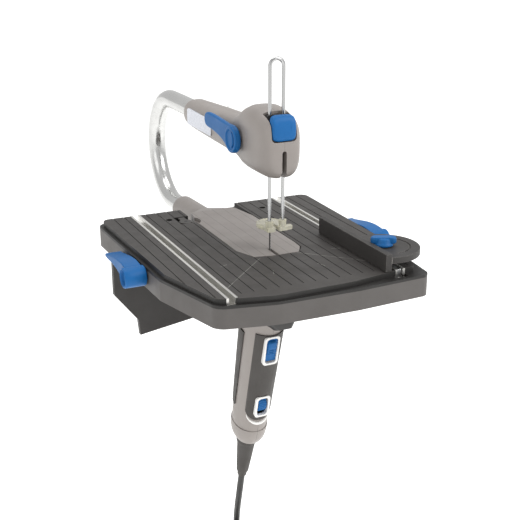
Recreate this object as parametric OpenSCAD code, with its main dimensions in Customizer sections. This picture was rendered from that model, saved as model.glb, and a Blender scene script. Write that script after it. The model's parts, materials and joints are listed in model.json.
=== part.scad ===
// Bench-clamped scroll saw: a C-frame saw with a motor grip below, resting in a slotted
// work table that clamps over the edge of a bench.
// +X right, +Y rearward over the bench, +Z up. The origin is the middle of the bar that
// rests on the bench top. All modules are drawn round the blade: X = 0, Y = 0 on the
// blade line, Z = 0 on the table top, and from_blade() moves them to the origin.

/* [Table] */
// Height of the table top above the bench top
table_h = 37; // [36:0.5:40]
// Distance from the blade line back to the middle of the seat bar
seat_back = 135; // [133:0.5:136]
// Depth of the table's skirt
skirt_h = 23; // [22:0.5:24]
// Thickness of the table deck
deck_t = 5.5; // [5.4:0.1:5.6]
// Distance of each accessory rail from the middle
rail_x = 73; // [72:0.5:74]
// Spacing of the grooves in the deck
groove_pitch = 10.5; // [8:0.5:14]

/* [Bench clamp] */
// Thickness of the bench stop plate
plate_t = 5; // [4:0.5:5]
// Gap between the seat and the clamp jaws
bench_gap = 33; // [28:1:34]
// Thickness of the seat bar
seat_t = 4; // [3:0.5:4]

/* [Saw frame] */
// Outer radius of the steel tube
tube_r = 9; // [9:0.1:9.4]
// Radius of the tube's C bend
bend_r = 54; // [54:0.5:54]
// Distance from the blade back to the centre of the bend
bend_y = 228.5; // [225:0.1:240]
// Height of the upper tube run above the table
arm_z = 89; // [89:0.5:89]
// Half width of the saw head
head_hw = 19; // [18:0.5:20]
// Height of the underside of the head
head_z = 66.5; // [66:0.5:68]

/* [Grip] */
// Lean of the motor grip from upright, in degrees
lean = 14.5; // [14:0.5:15]
// Length of the grip below the crank
grip_len = 161; // [158:1:165]
// Half width of the grip at its top
grip_w1 = 19; // [18.5:0.5:20]
// Half depth of the grip at its top
grip_d1 = 23; // [22:0.5:24]
// Half width of the grip at its lower end
grip_w2 = 15.5; // [15.5:0.5:16.5]
// Half depth of the grip at its lower end
grip_d2 = 18.5; // [18:0.5:20]

/* [Drive] */
// Distance from crank axis to crank pin, half of the blade stroke
crank_r = 4; // [3:0.5:4]
// Number of pinion teeth
pinion_n = 8; // [8:1:8]
// Number of crown gear teeth
crown_n = 32; // [32:1:32]

/* [Guide] */
// Length of the mitre fence
fence_len = 112; // [90:1:115]
// Height of the mitre fence
fence_h = 15; // [12:0.5:18]
// Radius of the mitre protractor
disc_r = 30; // [29:0.5:32]

/* [Cord] */
// Diameter of the mains cord
cord_d = 6.5; // [6:0.1:7]

/* [Hidden] */

$fn = 48;
dark = "#4b4642";
warm_grey = "#a69f99";
blue = "#1e64a8";
rubber = "#383532";
steel = "#c9c9c9";
brass = "#c0a050";
clear_yellow = "#e9e4c8";

eps = 0.01;               // small overlap that joins solids of one piece
gap = 0.4;                // gap between pieces that move on each other
table_rear = 143;         // rear edge of the table
plate_rear = 117;         // rear face of the bench stop plate
tab_t = 4;                // tabs that the stop plate is screwed to
tab_z = -27;
boss_y = 16;              // clamp lever axis
boss_z = -12;
cam_e = 2;                // throw and radius of the clamp lever cam
cam_r = 3.5;
jaw_x = 76;               // clamp jaw slide
crank_y = 8.7;            // crank axis, where the grip axis starts
crank_z = -47;
rod_x = 6;                // hold-down rods
rod_y = -11.6;
rod_r = 1.5;
lever_y = 23;             // tension lever axis
lever_z = 92;
pivot_y = -62;            // mitre pivot on the right rail
rail_holes = [-80, 20, 122];
rail_front = -88.4;       // front ends of the rails
latch = [-36, 104];       // pivot of the catch beside the saw slot
latch_r = 13;             // length of its tongue
coil_y = 60;              // centre of the cord coil
coil_z = -372;
coil_r = 37;              // middle radius of the coil

// ---------- helpers ----------

module from_blade() translate([0, -seat_back, table_h]) children();

// the grip's own axes: Z along the grip, zero at the crank axis
module along_grip() from_blade() translate([0, crank_y, crank_z]) rotate([lean, 0, 0]) children();

// a cylinder from a point along +X, +Y
module x_rod(p, r, l) translate(p) rotate([0, 90, 0]) cylinder(r = r, h = l);
module y_rod(p, r, l) translate(p) rotate([-90, 0, 0]) cylinder(r = r, h = l);

// a box from its low corner to its high corner
module block(a, b) translate(a) cube(b - a);

function unit(v) = v / norm(v);
// arc that rounds the corner b between a and c
function corner_arc(a, b, c, r, n = 5) = let(
    u = unit(a - b), v = unit(c - b), h = acos(u * v) / 2,
    m = b + unit(u + v) * (r / sin(h)), s = b + u * (r / tan(h)) - m, e = b + v * (r / tan(h)) - m)
    [for (i = [0:n]) m + r * unit(s * (n - i) + e * i)];
// outline through [x, y, radius] corners, each rounded
function rounded(q) = let(n = len(q)) [for (i = [0:n - 1]) each
    let(a = q[(i + n - 1) % n], b = q[i], c = q[(i + 1) % n])
    b.z > 0 ? corner_arc([a.x, a.y], [b.x, b.y], [c.x, c.y], b.z) : [[b.x, b.y]]];
// rounded rectangle by half sizes, centred
function round_rect(hx, hy, r) = rounded([[hx, hy, r], [-hx, hy, r], [-hx, -hy, r], [hx, -hy, r]]);

// a thin slice of a rounded rectangle, a section for a hull
module slice(hx, y0, y1, z, r) translate([0, (y0 + y1) / 2, z]) linear_extrude(0.1)
    polygon(round_rect(hx, (y1 - y0) / 2, r));

// one side of a shape, split at X = 0
module half(side) intersection() {
    children();
    translate([side > 0 ? 0 : -60, -60, -300]) cube([60, 400, 500]);
}

// ---------- table ----------

skirt_pts = rounded([[-109, table_rear, 9], [-104.5, -17, 12], [-86, -90, 12], [-40, -99.8, 40],
    [30, -101, 60], [96, -97, 7], [104.5, -17, 12], [109, table_rear, 9]]);
deck_pts = rounded([[-105.5, table_rear - 3, 7], [-101.5, -20, 10], [-84, -87, 10], [-40, -97.5, 40],
    [25, -96.5, 60], [89, -86, 7], [101.5, -20, 10], [105.5, table_rear - 3, 7]]);
cavity_pts = rounded([[-105, table_rear - 4, 6], [-100.5, -18, 8], [-82.5, -86, 8], [-38, -95.5, 30],
    [30, -97, 50], [92, -93, 4], [100.5, -18, 8], [105, table_rear - 4, 6]]);
// the slot that the saw's lower arm drops into, and the lower arm itself
function arm_pts(d, rear) = [[-27.5 - d, rear], [-27.5 - d, 8], [-20 - d, -12 - d], [-5, -15.5 - d],
    [19.8, -15.5 - d], [26.5 + d, -4 - d], [27.5 + d, 8], [27.5 + d, rear]];

module table() color(dark) from_blade() {
    ledge = 4.5;
    wall = 3;
    difference() {
        union() {
            difference() {
                union() {
                    translate([0, 0, -skirt_h]) linear_extrude(skirt_h - ledge) polygon(skirt_pts);
                    translate([0, 0, -ledge - eps]) linear_extrude(ledge + eps) polygon(deck_pts);
                }
                translate([0, 0, -skirt_h - 1]) linear_extrude(skirt_h + 1 - deck_t)
                    polygon(cavity_pts);
            }
            // wall round the saw slot
            translate([0, 0, -skirt_h + 3]) linear_extrude(skirt_h - 3 - ledge)
                polygon(arm_pts(wall + 1, table_rear - 1));
            // rail troughs
            for (s = [-1, 1]) block([s * rail_x - 7.5, s < 0 ? -88 : -95, -13],
                [s * rail_x + 7.5, table_rear - 1, -ledge]);
            // ribs that stiffen the deck
            for (s = [-1, 1], y = [-45, 60])
                block([s * 49 - 18, y, -16], [s * 49 + 18, y + 2.5, -ledge]);
            // pads that carry the bench stop plate and the seat bar
            for (s = [-1, 1]) {
                block([s * 46 - 14, plate_rear - plate_t - tab_t, -skirt_h],
                    [s * 46 + 14, plate_rear, -ledge]);
                block([s * 46 - 14, plate_rear - plate_t - tab_t, tab_z - 5],
                    [s * 46 + 14, plate_rear - plate_t, -ledge]);
                block([s * 52 - 9, seat_back - 7, -skirt_h], [s * 52 + 9, seat_back + 3, -ledge]);
            }
        }
        translate([0, 0, -40]) linear_extrude(60) polygon(arm_pts(0.8, table_rear + 20));
        // rail slots, with a pocket in front of each rail
        for (s = [-1, 1]) block([s * rail_x - 4.7, s < 0 ? -90.2 : -94, -9.1],
            [s * rail_x + 4.7, table_rear + 5, 1]);
        // deck grooves
        for (i = [-9:9]) let(x = i * groove_pitch)
            if (abs(abs(x) - rail_x) > 7)
                block([x - 0.4, -83, -0.5], [x + 0.4, table_rear + 5, 1]);
        // rail screw holes
        for (s = [-1, 1], y = rail_holes) translate([s * rail_x, y, -20]) cylinder(r = 1.6, h = 15);
        // plate screw holes
        for (s = [-1, 1], x = [38, 54])
            y_rod([s * x, plate_rear - plate_t - tab_t - 1, tab_z], 2.1, tab_t + 2);
        // holes for the clamp lever shafts
        for (s = [-1, 1]) x_rod([s * 105 - 10, boss_y, boss_z], 3.06, 20);
        // storage holes near the rear edge
        for (x = [-48.5, 46.5]) translate([x, 114, -10]) cylinder(r = 3, h = 20);
        // latch recess, round a pivot pin
        difference() {
            block([latch.x - 7, latch.y - 7, -3.2], [latch.x + 8, latch.y + 14.5, 1]);
            translate([latch.x, latch.y, -4]) cylinder(r = 1.5, h = 3.8);
        }
    }
}

// extruded aluminium channel, open at the top
module rail() difference() {
    block([-4.6, rail_front, -9.1], [4.6, 141, 0.1]);
    block([-2.5, -100, -8], [2.5, 142, 1]);
    block([-3.6, -100, -8], [3.6, 142, -4.8]);
    for (y = rail_holes) translate([0, y, -10]) cylinder(r = 1.6, h = 5);
}
module left_rail() color(steel) from_blade() translate([-rail_x, 0, 0]) rail();
module right_rail() color(steel) from_blade() translate([rail_x, 0, 0]) rail();
module rail_screws() color(steel) from_blade() for (s = [-1, 1], y = rail_holes)
    translate([s * rail_x, y, -15]) {
        cylinder(r = 1.5, h = 6.7);
        cylinder(r = 2.8, h = 2);
    }

// ---------- bench clamp ----------

// half of the stop plate's outline in X and Z, from the top outwards
plate_half = [[105, -skirt_h], [105, -65], [83, -93.5], [81.5, -109], [27.5, -101], [0, -97]];

module bench_stop_plate() color(dark) from_blade() difference() {
    union() {
        translate([0, plate_rear, 0]) rotate([90, 0, 0]) linear_extrude(plate_t)
            polygon([each plate_half, for (i = [4:-1:0]) [-plate_half[i].x, plate_half[i].y]]);
        // pads that meet the edge of the bench
        for (s = [-1, 1]) block([s * 40 - 16, plate_rear - eps, -table_h - 14],
            [s * 40 + 16, plate_rear + 10, -table_h - 1]);
        // channels that guide the clamp jaws
        for (s = [-1, 1]) for (k = [-1, 1]) {
            block([s * jaw_x + k * 6.6 - 1.4, plate_rear - eps, -80],
                [s * jaw_x + k * 6.6 + 1.4, plate_rear + 10, -skirt_h - 1]);
            block([s * jaw_x + k * 4.6 - 1.9, plate_rear + 5.4, -80],
                [s * jaw_x + k * 4.6 + 1.9, plate_rear + 10, -skirt_h - 1]);
        }
    }
    // clearance for the saw's neck
    block([-18, 100, -31], [18, 130, 0]);
    // holes for the lock links and the plate screws
    for (s = [-1, 1]) {
        y_rod([s * jaw_x, plate_rear - plate_t - 1, -35], 3, plate_t + 2);
        for (x = [38, 54]) y_rod([s * x, plate_rear - plate_t - 1, tab_z], 2.1, plate_t + 2);
    }
}

module plate_screws() color(steel) from_blade() for (s = [-1, 1], x = [38, 54]) {
    y_rod([s * x, plate_rear - plate_t - tab_t, tab_z], 2, plate_t + tab_t);
    y_rod([s * x, plate_rear - plate_t - tab_t - 2.2, tab_z], 3.6, 2.2);
}

// steel strap that rests on the bench top
module seat_bar() color(steel) from_blade() difference() {
    union() {
        block([-90, seat_back - 8, -table_h], [90, seat_back + 8, -table_h + seat_t]);
        for (s = [-1, 1]) block([s * 52 - 9, seat_back - 7, -table_h + seat_t - eps],
            [s * 52 + 9, seat_back + 3, -skirt_h]);
    }
    for (s = [-1, 1]) translate([s * 52, seat_back - 2, -table_h - 1]) cylinder(r = 2.6, h = 20);
}

// hook that slides up under the bench; z is the top of its foot
module clamp_jaw() {
    z = -table_h - bench_gap - 2;
    block([-4.8, plate_rear + 0.5, z - 6], [4.8, plate_rear + 5, z + 34]);
    block([-2.2, plate_rear + 4.9, z - 6], [2.2, plate_rear + 12, z]);
    block([-9, plate_rear + 11, z - 6], [9, plate_rear + 28, z]);
}
module left_clamp_jaw() color(steel) from_blade() translate([-jaw_x, 0, 0]) clamp_jaw();
module right_clamp_jaw() color(steel) from_blade() translate([jaw_x, 0, 0]) clamp_jaw();
module jaw_pad() block([-8, plate_rear + 12, -table_h - bench_gap - 2],
    [8, plate_rear + 27, -table_h - bench_gap]);
module left_jaw_pad() color(rubber) from_blade() translate([-jaw_x, 0, 0]) jaw_pad();
module right_jaw_pad() color(rubber) from_blade() translate([jaw_x, 0, 0]) jaw_pad();

// blue lever on the right side of the table; the left one is its mirror image
module clamp_lever() difference() {
    union() {
        x_rod([106.4, boss_y, boss_z], 8.6, 18.6);
        hull() {
            x_rod([108.2, boss_y, boss_z], 8.2, 15.5);
            x_rod([109.5, boss_y + 56, boss_z + 1.5], 1.5, 12.5);
        }
    }
    x_rod([123, boss_y, boss_z], 6.2, 5);
    x_rod([100, boss_y, boss_z], 3, 20);
}
module lever_shaft() {
    x_rod([84, boss_y, boss_z], 3, 35.9);
    x_rod([85.5, boss_y, boss_z + cam_e], cam_r, 5);
}
// link that carries the cam's motion back to the clamp jaw
module lock_link() {
    // fork round the cam, wider behind so that it clears the shaft at full travel
    front = boss_y - 7.5;
    back = boss_y + 5.5;
    for (y = [front, back]) block([86, y, -19], [90, y + 3, -7]);
    block([86, front, -19.5], [90, back + 3, -17]);
    block([86, back, -14], [90, 107, -8]);
    block([86, 101, -38], [90, 107, -8]);
    block([jaw_x - 4, 101, -38], [90, 107, -32]);
    y_rod([jaw_x, 106.9, -35], 2.5, plate_rear + 0.1 - 106.9);
}
module right_clamp_lever() color(blue) from_blade() clamp_lever();
module left_clamp_lever() color(blue) from_blade() mirror([1, 0, 0]) clamp_lever();
module right_lever_shaft() color(steel) from_blade() lever_shaft();
module left_lever_shaft() color(steel) from_blade() mirror([1, 0, 0]) lever_shaft();
module right_lock_link() color(steel) from_blade() lock_link();
module left_lock_link() color(steel) from_blade() mirror([1, 0, 0]) lock_link();

// turning catch beside the saw slot
module saw_latch() color(rubber) from_blade() {
    difference() {
        union() {
            translate([latch.x, latch.y, -2.7]) cylinder(r = 6, h = 2.6);
            block([latch.x - 3, latch.y, -2.7], [latch.x + 3, latch.y + latch_r, -0.1]);
        }
        translate([latch.x, latch.y, -3]) cylinder(r = 1.57, h = 4);
    }
}

// ---------- saw frame ----------

module lower_arm() color(warm_grey) from_blade() difference() {
    union() {
        translate([0, 0, -5]) linear_extrude(5) polygon([each arm_pts(0, 95), [21.7, 128], [-21.7, 128]]);
        difference() {
            translate([0, 0, -22]) linear_extrude(20)
                polygon([each arm_pts(0, 95), [21.7, 128], [-21.7, 128]]);
            translate([0, 0, -23]) linear_extrude(22) polygon(arm_pts(-3, 92));
        }
        // neck that turns into the tube socket
        hull() {
            block([-20.5, 112, -22], [20.5, 127, -0.5]);
            y_rod([0, 150, -16.5], 12, 1);
        }
        hull() {
            y_rod([0, 150, -16.5], 12, 1);
            y_rod([0, 172, -19], 12.5, 33);
        }
        // floor that carries the plunger bush
        translate([0, 0, -22]) linear_extrude(3) polygon(arm_pts(-1, 14));
    }
    translate([0, 0, -23]) cylinder(r = 6.5, h = 8);
    // tube socket
    y_rod([0, 155, -19], tube_r + 0.05, 60);
    // blade slot, open to the front
    block([-1.6, -20, -10], [1.6, 1.6, 1]);
    // front window below the top plate
    block([-6, -20, -23], [6, -10, -5]);
    // round notch that the catch turns into
    translate([latch.x, latch.y, -3.4]) cylinder(r = latch_r + 0.9, h = 5);
}

// tapering box, shrunk by d: one level of it from z up, chamfered like the slot it lifts through
module housing_level(x0, x1, y0, y1, r, z, h) translate([0, 0, z]) linear_extrude(h)
    polygon(rounded([[x1, y1, r], [x0, y1, r], [x0, y0, r], [x1 - 7, y0, 3], [x1, y0 + 9, 3]]));
module housing_hull(d) hull() {
    housing_level(-17 + d, 26 - d, -14 + d, 44 - d, 8, -24, 2 + d / 3);
    housing_level(-16 + d, 26.5 - d, -14 + d, 42 - d, 8, -58, 1);
    housing_level(-2 + d, 23 - d, -11 + d, 36 - d, 8, -71.5 + d, 1);
}
// housing of the crank and pinion, carried below the lower arm
module gear_housing() color(rubber) from_blade() difference() {
    housing_hull(0);
    housing_hull(3);
    // opening for the motor grip
    translate([0, crank_y, crank_z]) rotate([lean, 0, 0]) grip_body(0.05, -13.9, -50);
    // axle hole in the right wall
    x_rod([20, crank_y, crank_z], 3, 10);
}

module frame_tube() color(steel) from_blade() {
    difference() {
        union() {
            y_rod([0, 128, arm_z], tube_r, bend_y - 128);
            y_rod([0, 157, arm_z - 2 * bend_r], tube_r, bend_y - 157);
            translate([0, bend_y, arm_z - bend_r]) rotate([90, 0, 90]) rotate([0, 0, -90])
                rotate_extrude(angle = 180) translate([bend_r, 0]) circle(tube_r);
        }
        y_rod([0, 127, arm_z], tube_r - 1.8, 20);
        y_rod([0, 156, arm_z - 2 * bend_r], tube_r - 1.8, 20);
    }
}

// outside of the upper arm and head, grown by d
module arm_body(d) {
    hull() {
        y_rod([0, 166 - d, arm_z - 1.2], 13.3 - d, 3);
        translate([0, 50, 0]) rotate([-90, 0, 0]) linear_extrude(1) translate([0, -88.5])
            polygon(round_rect(16 - d, 16.5 - d, 9));
    }
    hull() {
        slice(16.5 - d, -23.5 + d, 20 - d, head_z + d, 8);
        slice(head_hw - d, -26 + d, 24 - d, 76, 9);
        slice(head_hw - d, -26.5 + d, 30 - d, 98, 9);
        slice(15.5 - d, -23 + d, 38 - d, 114.5, 8);
        slice(10 - d, -15 + d, 26 - d, 122 - d, 6);
        translate([0, 50, 0]) rotate([-90, 0, 0]) linear_extrude(1) translate([0, -88.5])
            polygon(round_rect(16 - d, 16.5 - d, 9));
    }
}

screw_spots = [for (y = [60, 118], z = [82, 97]) [y, z]];
// how far out the screw heads seat in the tapering right shell
function screw_seat(y) = 14.6 - 0.038 * (y - 60);
module arm_shell(side) difference() {
    union() {
        difference() {
            half(side) arm_body(0);
            difference() {
                arm_body(2.5);
                // bulkhead that holds the tube
                block([-30, 126, 60], [30, 160, 120]);
            }
        }
        // screw bosses
        for (p = screw_spots) x_rod([side > 0 ? 0 : -13.5, p[0], p[1]], 3.2, 13.5);
    }
    y_rod([0, 124, arm_z], tube_r + 0.05, 60);
    // blade slot in the front of the head
    block([-2.3, -30, 60], [2.3, -20, 90]);
    block([-2.3, -30, 60], [2.3, 3, 72]);
    // window of the lock button
    block([-11, -30, 97.5], [11, -15, 125]);
    // hold-down rod holes
    for (s = [-1, 1]) translate([s * rod_x, rod_y, 55]) cylinder(r = rod_r + 0.06, h = 70);
    // lever pin hole, left side only
    x_rod([-30, lever_y, lever_z], 3.05, 24);
    // screw holes
    for (p = screw_spots) x_rod([-12, p[0], p[1]], 1.55, 42);
    for (p = screw_spots) x_rod([screw_seat(p[0]), p[0], p[1]], 3.1, 10);
}
module arm_left_shell() color(warm_grey) from_blade() arm_shell(-1);
module arm_right_shell() color(warm_grey) from_blade() arm_shell(1);

// screws that hold the two arm halves together, driven from the right
module arm_screws() color(steel) from_blade() for (p = screw_spots) {
    seat = screw_seat(p[0]);
    x_rod([-11, p[0], p[1]], 1.5, 11 + seat);
    x_rod([seat, p[0], p[1]], 2.8, 1.5);
}

// blank plate on the left side of the arm
module side_plate() color("white") from_blade() difference() {
    translate([-15.5, 90, 0]) rotate(-1.35) rotate([90, 0, 90]) linear_extrude(6)
        polygon(rounded([[0, 80, 3], [62, 80, 3], [62, 95, 3], [0, 95, 3]]));
    arm_body(0);
}

// ---------- grip ----------

// tapering oval, grown by d, between two heights along the grip
module oval(z, d) {
    t = -z / grip_len;
    w = grip_w1 + (grip_w2 - grip_w1) * t + d;
    h = grip_d1 + (grip_d2 - grip_d1) * t + d;
    translate([0, 0, z]) linear_extrude(0.1)
        polygon([for (a = [0:11.25:359]) [w * cos(a), h * sin(a)]]);
}
module grip_body(d, top, bottom) hull() {
    oval(top, d);
    oval(bottom, d);
}
module grip_shell(side) difference() {
    half(side) grip_body(0, -14, -140);
    grip_body(-2.2, -10, -145);
    // openings behind the switch and the dial
    block([-5, -40, -53], [5, -10, -26]);
    block([-5, -40, -118], [5, -8, -96]);
}
module grip_left_shell() color(warm_grey) along_grip() grip_shell(-1);
module grip_right_shell() color(warm_grey) along_grip() grip_shell(1);

// rubber skins lie on the shells, cut from a slightly larger oval
module grip_front_pad() color(rubber) along_grip() difference() {
    intersection() {
        grip_body(1.2, -25, -135);
        translate([0, 0, -124]) rotate([90, 0, 0]) linear_extrude(40)
            polygon(rounded([[-12.5, 0, 9], [12.5, 0, 9], [13.5, 108, 3], [-13.5, 108, 3]]));
    }
    grip_body(0, -10, -145);
    frame_prism(switch_frame, 0.05);
    frame_prism(dial_frame, 0.05);
}
module grip_side_pads() color(rubber) along_grip() difference() {
    intersection() {
        grip_body(1.2, -31, -118);
        for (s = [-1, 1]) translate([s * 15, 0, -118]) rotate([90, 0, 90]) linear_extrude(16, center = true)
            polygon([[0, 0], [7, 0], [17, 87], [-4, 87]]);
    }
    grip_body(0, -10, -145);
}
module end_cap() color(warm_grey) along_grip() difference() {
    hull() {
        oval(-140.1, 0.4);
        oval(-152, 0);
        oval(-grip_len, -4.5);
    }
    grip_body(-2.2, -139, -150);
    translate([0, 0, -grip_len - 1]) cylinder(r = 7, h = 15);
}
module strain_relief() color(rubber) along_grip() rotate_extrude() polygon([
    [cord_d / 2, -150], [6.9, -150], [6.9, -grip_len], [10, -grip_len], [9.6, -grip_len - 6],
    [5.4, -grip_len - 50], [cord_d / 2, -grip_len - 52]]);

// raised frames round the switch and the dial: middle height, half width, half length
switch_frame = [-41, 7.2, 15];
dial_frame = [-107, 7, 11.5];
// outer prism of a frame, grown by d, from just above the shell inwards
module frame_prism(f, d) let(y = -grip_d1 - (grip_d2 - grip_d1) * -f[0] / grip_len)
    translate([0, y - 2.4, f[0]]) rotate([-90 - atan((grip_d1 - grip_d2) / grip_len), 0, 0])
    linear_extrude(8) polygon(round_rect(f[1] + d, f[2] + d, 3));
module bezel(f) difference() {
    frame_prism(f, 0);
    translate([0, -1, 0]) frame_prism(f, -1.9);
    frame_prism(f, -1.9);
    grip_body(0, -10, -145);
}
module switch_bezel() color("white") along_grip() bezel(switch_frame);
module dial_bezel() color("white") along_grip() bezel(dial_frame);

module power_switch() color(blue) along_grip() {
    block([-4.3, -24.6, -45.8], [4.3, -17, -29.8]);
    for (z = [-43, -40, -37, -34]) block([-4.3, -25.8, z], [4.3, -24.5, z + 1.2]);
}
module switch_block() color(rubber) along_grip() block([-6, -15.8, -47], [6, -13.4, -20]);
module speed_dial() color(blue) along_grip() difference() {
    x_rod([-4, -13.2, dial_frame[0]], 9.2, 8);
    x_rod([-6, -13.2, dial_frame[0]], 1.55, 12);
}
module speed_board() color("green") along_grip() {
    block([-10, -3, -138], [10, -1.4, -120]);
    x_rod([-6.5, -13.2, dial_frame[0]], 1.5, 13);
    for (s = [-1, 1]) block([s * 5.7 - 0.8, -15, -128], [s * 5.7 + 0.8, -1.5, dial_frame[0] + 2]);
}

// ---------- motor and drive ----------

module motor_can() color(steel) along_grip() difference() {
    translate([0, 0, -94]) cylinder(r = 13.4, h = 60);
    translate([0, 0, -91]) cylinder(r = 12, h = 54);
    translate([0, 0, -100]) cylinder(r = 6.5, h = 80);
}
module armature() color(brass) along_grip() {
    translate([0, 0, -88]) cylinder(r = 10.8, h = 36);
    translate([0, 0, -97]) cylinder(r = 2.5, h = 85);
    translate([0, 0, -52.5]) cylinder(r = 6, h = 12);
}
module motor_bearings() color(steel) along_grip() for (z = [-94, -37]) translate([0, 0, z]) difference() {
    cylinder(r = 6.5, h = 3);
    translate([0, 0, -1]) cylinder(r = 2.55, h = 5);
}
// teeth point outwards; one tooth points at the crown gear
module pinion() color(brass) along_grip() translate([0, 0, -18.5]) difference() {
    union() {
        cylinder(r = 3.1, h = 5);
        for (i = [0:pinion_n - 1]) rotate(i * 360 / pinion_n) block([2.5, -0.5, 0], [4.7, 0.5, 5]);
    }
    translate([0, 0, -1]) cylinder(r = 2.5, h = 7);
}
// crown gear: its teeth stand on the face towards the pinion
module crown_gear() color(brass) along_grip() rotate([0, 90, 0]) difference() {
    union() {
        translate([0, 0, 5.3]) cylinder(r = 17.8, h = 4);
        translate([0, 0, 5.3]) cylinder(r = 7, h = 10);
        for (i = [0:crown_n - 1]) rotate((i + 0.5) * 360 / crown_n) block([15, -0.4, 3.6], [17.5, 0.4, 5.4]);
        // crank pin
        translate([0, crank_r, 0.9]) cylinder(r = 1.8, h = 4.5);
    }
    translate([0, 0, 5.31]) cylinder(r = 3.06, h = 20);
}
module crank_axle() color(steel) from_blade() {
    x_rod([7, crank_y, crank_z], 3, 18);
}

// slotted yoke on the drive rod, with the crank pin turning beside it
module plunger() color(steel) from_blade() {
    difference() {
        block([-3.5, -3, crank_z - 6], [0.3, crank_y + 9.8, crank_z + 6]);
        block([-4, crank_y - 6.6, crank_z - 2.2], [1, crank_y + 6.6, crank_z + 2.2]);
    }
    translate([0, 0, crank_z + 5]) cylinder(r = 3, h = 25.5);
}
module plunger_bush() color(brass) from_blade() translate([0, 0, -28.6]) difference() {
    union() {
        cylinder(r = 5.5, h = 6);
        translate([0, 0, 3.6]) cylinder(r = 9.5, h = 3);
    }
    translate([0, 0, -1]) cylinder(r = 3.06, h = 20);
}
// split clamp for the end of the blade, from z up, with its slot between two heights
module holder(z, h, slot0, slot1) difference() {
    translate([0, 0, z]) cylinder(r = 4.5, h = h);
    block([-0.22, -6, slot0], [0.22, 1.2, slot1]);
}
module lower_blade_holder() color(steel) from_blade() holder(-16.5, 7, -14.5, 0);
module upper_blade_holder() color(steel) from_blade() {
    holder(76, 11, 70, 84);
    translate([0, 0, 86.9]) cylinder(r = 2, h = 14);
}
// thin toothed blade, teeth to the front and down
module blade() color(steel) from_blade() {
    pitch = 2.5;
    rotate([90, 0, 90]) translate([0, 0, -0.22]) linear_extrude(0.44) polygon([[1.2, -14.5], [1.2, 84],
        [-0.7, 84], for (i = [29:-1:-3]) each [[-0.7, i * pitch + 1.6], [-1.4, i * pitch]],
        [-0.7, -14.5]]);
}

// quick release for the blade tension, on the left side of the arm
module tension_lever() color(blue) from_blade() difference() {
    union() {
        x_rod([-26, lever_y, lever_z], 11.5, 5.5);
        hull() {
            x_rod([-25, lever_y, lever_z + 1], 9.5, 4.5);
            x_rod([-24.5, lever_y + 56, lever_z + 7], 3.5, 4.5);
        }
    }
    x_rod([-24, lever_y, lever_z], 3, 5);
}
module lever_pin() color(steel) from_blade() {
    x_rod([-23.9, lever_y, lever_z], 3, 16);
    x_rod([-12, lever_y, lever_z + 1.5], 5, 4);
}
// spring button that frees the hold-down rods
module foot_lock_button() color(blue) from_blade() {
    hull() {
        slice(10.4, -27.6, -21, 98, 2.5);
        slice(10.4, -26.6, -21, 110, 2.5);
        slice(9.5, -22.5, -19, 118.5, 1.5);
    }
    block([-3, -21.5, 104], [3, -14.5, 108]);
}
// bent wire with two legs
module hold_down_rod() color(steel) from_blade() {
    for (s = [-1, 1]) translate([s * rod_x, rod_y, 21]) cylinder(r = rod_r, h = 134);
    translate([0, rod_y, 155]) rotate([90, 0, 0]) rotate_extrude(angle = 180)
        translate([rod_x, 0]) circle(rod_r);
}
module blade_foot() color(clear_yellow) from_blade() difference() {
    union() {
        translate([0, 1, 20]) cylinder(r = 11, h = 3.5);
        block([-9, -15, 20], [9, -6, 23.5]);
        block([8.9, -14, 20], [14, -10, 23.5]);
        for (s = [-1, 1]) translate([s * rod_x, rod_y, 20]) cylinder(r = 3.2, h = 9);
    }
    block([-1.8, -18, 19], [1.8, 2.5, 30]);
    for (s = [-1, 1]) translate([s * rod_x, rod_y, 20.99]) cylinder(r = rod_r, h = 20);
}

// ---------- mitre guide ----------

// T bar that slides in the right rail
module guide_bar() color(steel) from_blade() {
    block([rail_x - 2.1, pivot_y - 25, -6], [rail_x + 2.1, pivot_y + 42, -0.4]);
    block([rail_x - 3.2, pivot_y - 25, -7.6], [rail_x + 3.2, pivot_y + 42, -5.2]);
}
module mitre_fence() color(dark) from_blade() difference() {
    union() {
        block([58, pivot_y - 29, gap], [63.5, pivot_y - 29 + fence_len, fence_h]);
        // half disc with its flat edge against the fence
        intersection() {
            translate([rail_x, pivot_y, 6.5]) cylinder(r = disc_r, h = 5.5);
            block([63, pivot_y - 40, 0], [120, pivot_y + 40, 20]);
        }
        translate([rail_x, pivot_y, gap]) cylinder(r = 9, h = 8);
        block([63, pivot_y - 14, gap], [rail_x - 5, pivot_y + 14, 8]);
    }
    translate([rail_x, pivot_y, -1]) cylinder(r = 3.05, h = 20);
    // curved scale slot
    difference() {
        intersection() {
            translate([rail_x, pivot_y, 11]) cylinder(r = disc_r - 7.5, h = 3);
            block([rail_x + 1, pivot_y - 40, 5], [120, pivot_y + 40, 20]);
        }
        translate([rail_x, pivot_y, 10]) cylinder(r = disc_r - 9, h = 5);
    }
}
module guide_stud() color(steel) from_blade() translate([rail_x, pivot_y, -0.4]) {
    cylinder(r = 2.1, h = 1.2);
    translate([0, 0, 1]) cylinder(r = 3, h = 17);
}
module guide_knob() color(blue) from_blade() difference() {
    union() {
        translate([rail_x, pivot_y, 12.4]) cylinder(r = 8, h = 4);
        translate([rail_x, pivot_y, 0]) rotate(-25)
            block([-13, -4, fence_h + gap], [13, 4, fence_h + 7]);
        translate([rail_x, pivot_y, 15]) cylinder(r = 6.5, h = 8);
    }
    translate([rail_x, pivot_y, 12]) cylinder(r = 3.05, h = 5.8);
}

// ---------- cord ----------

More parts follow.
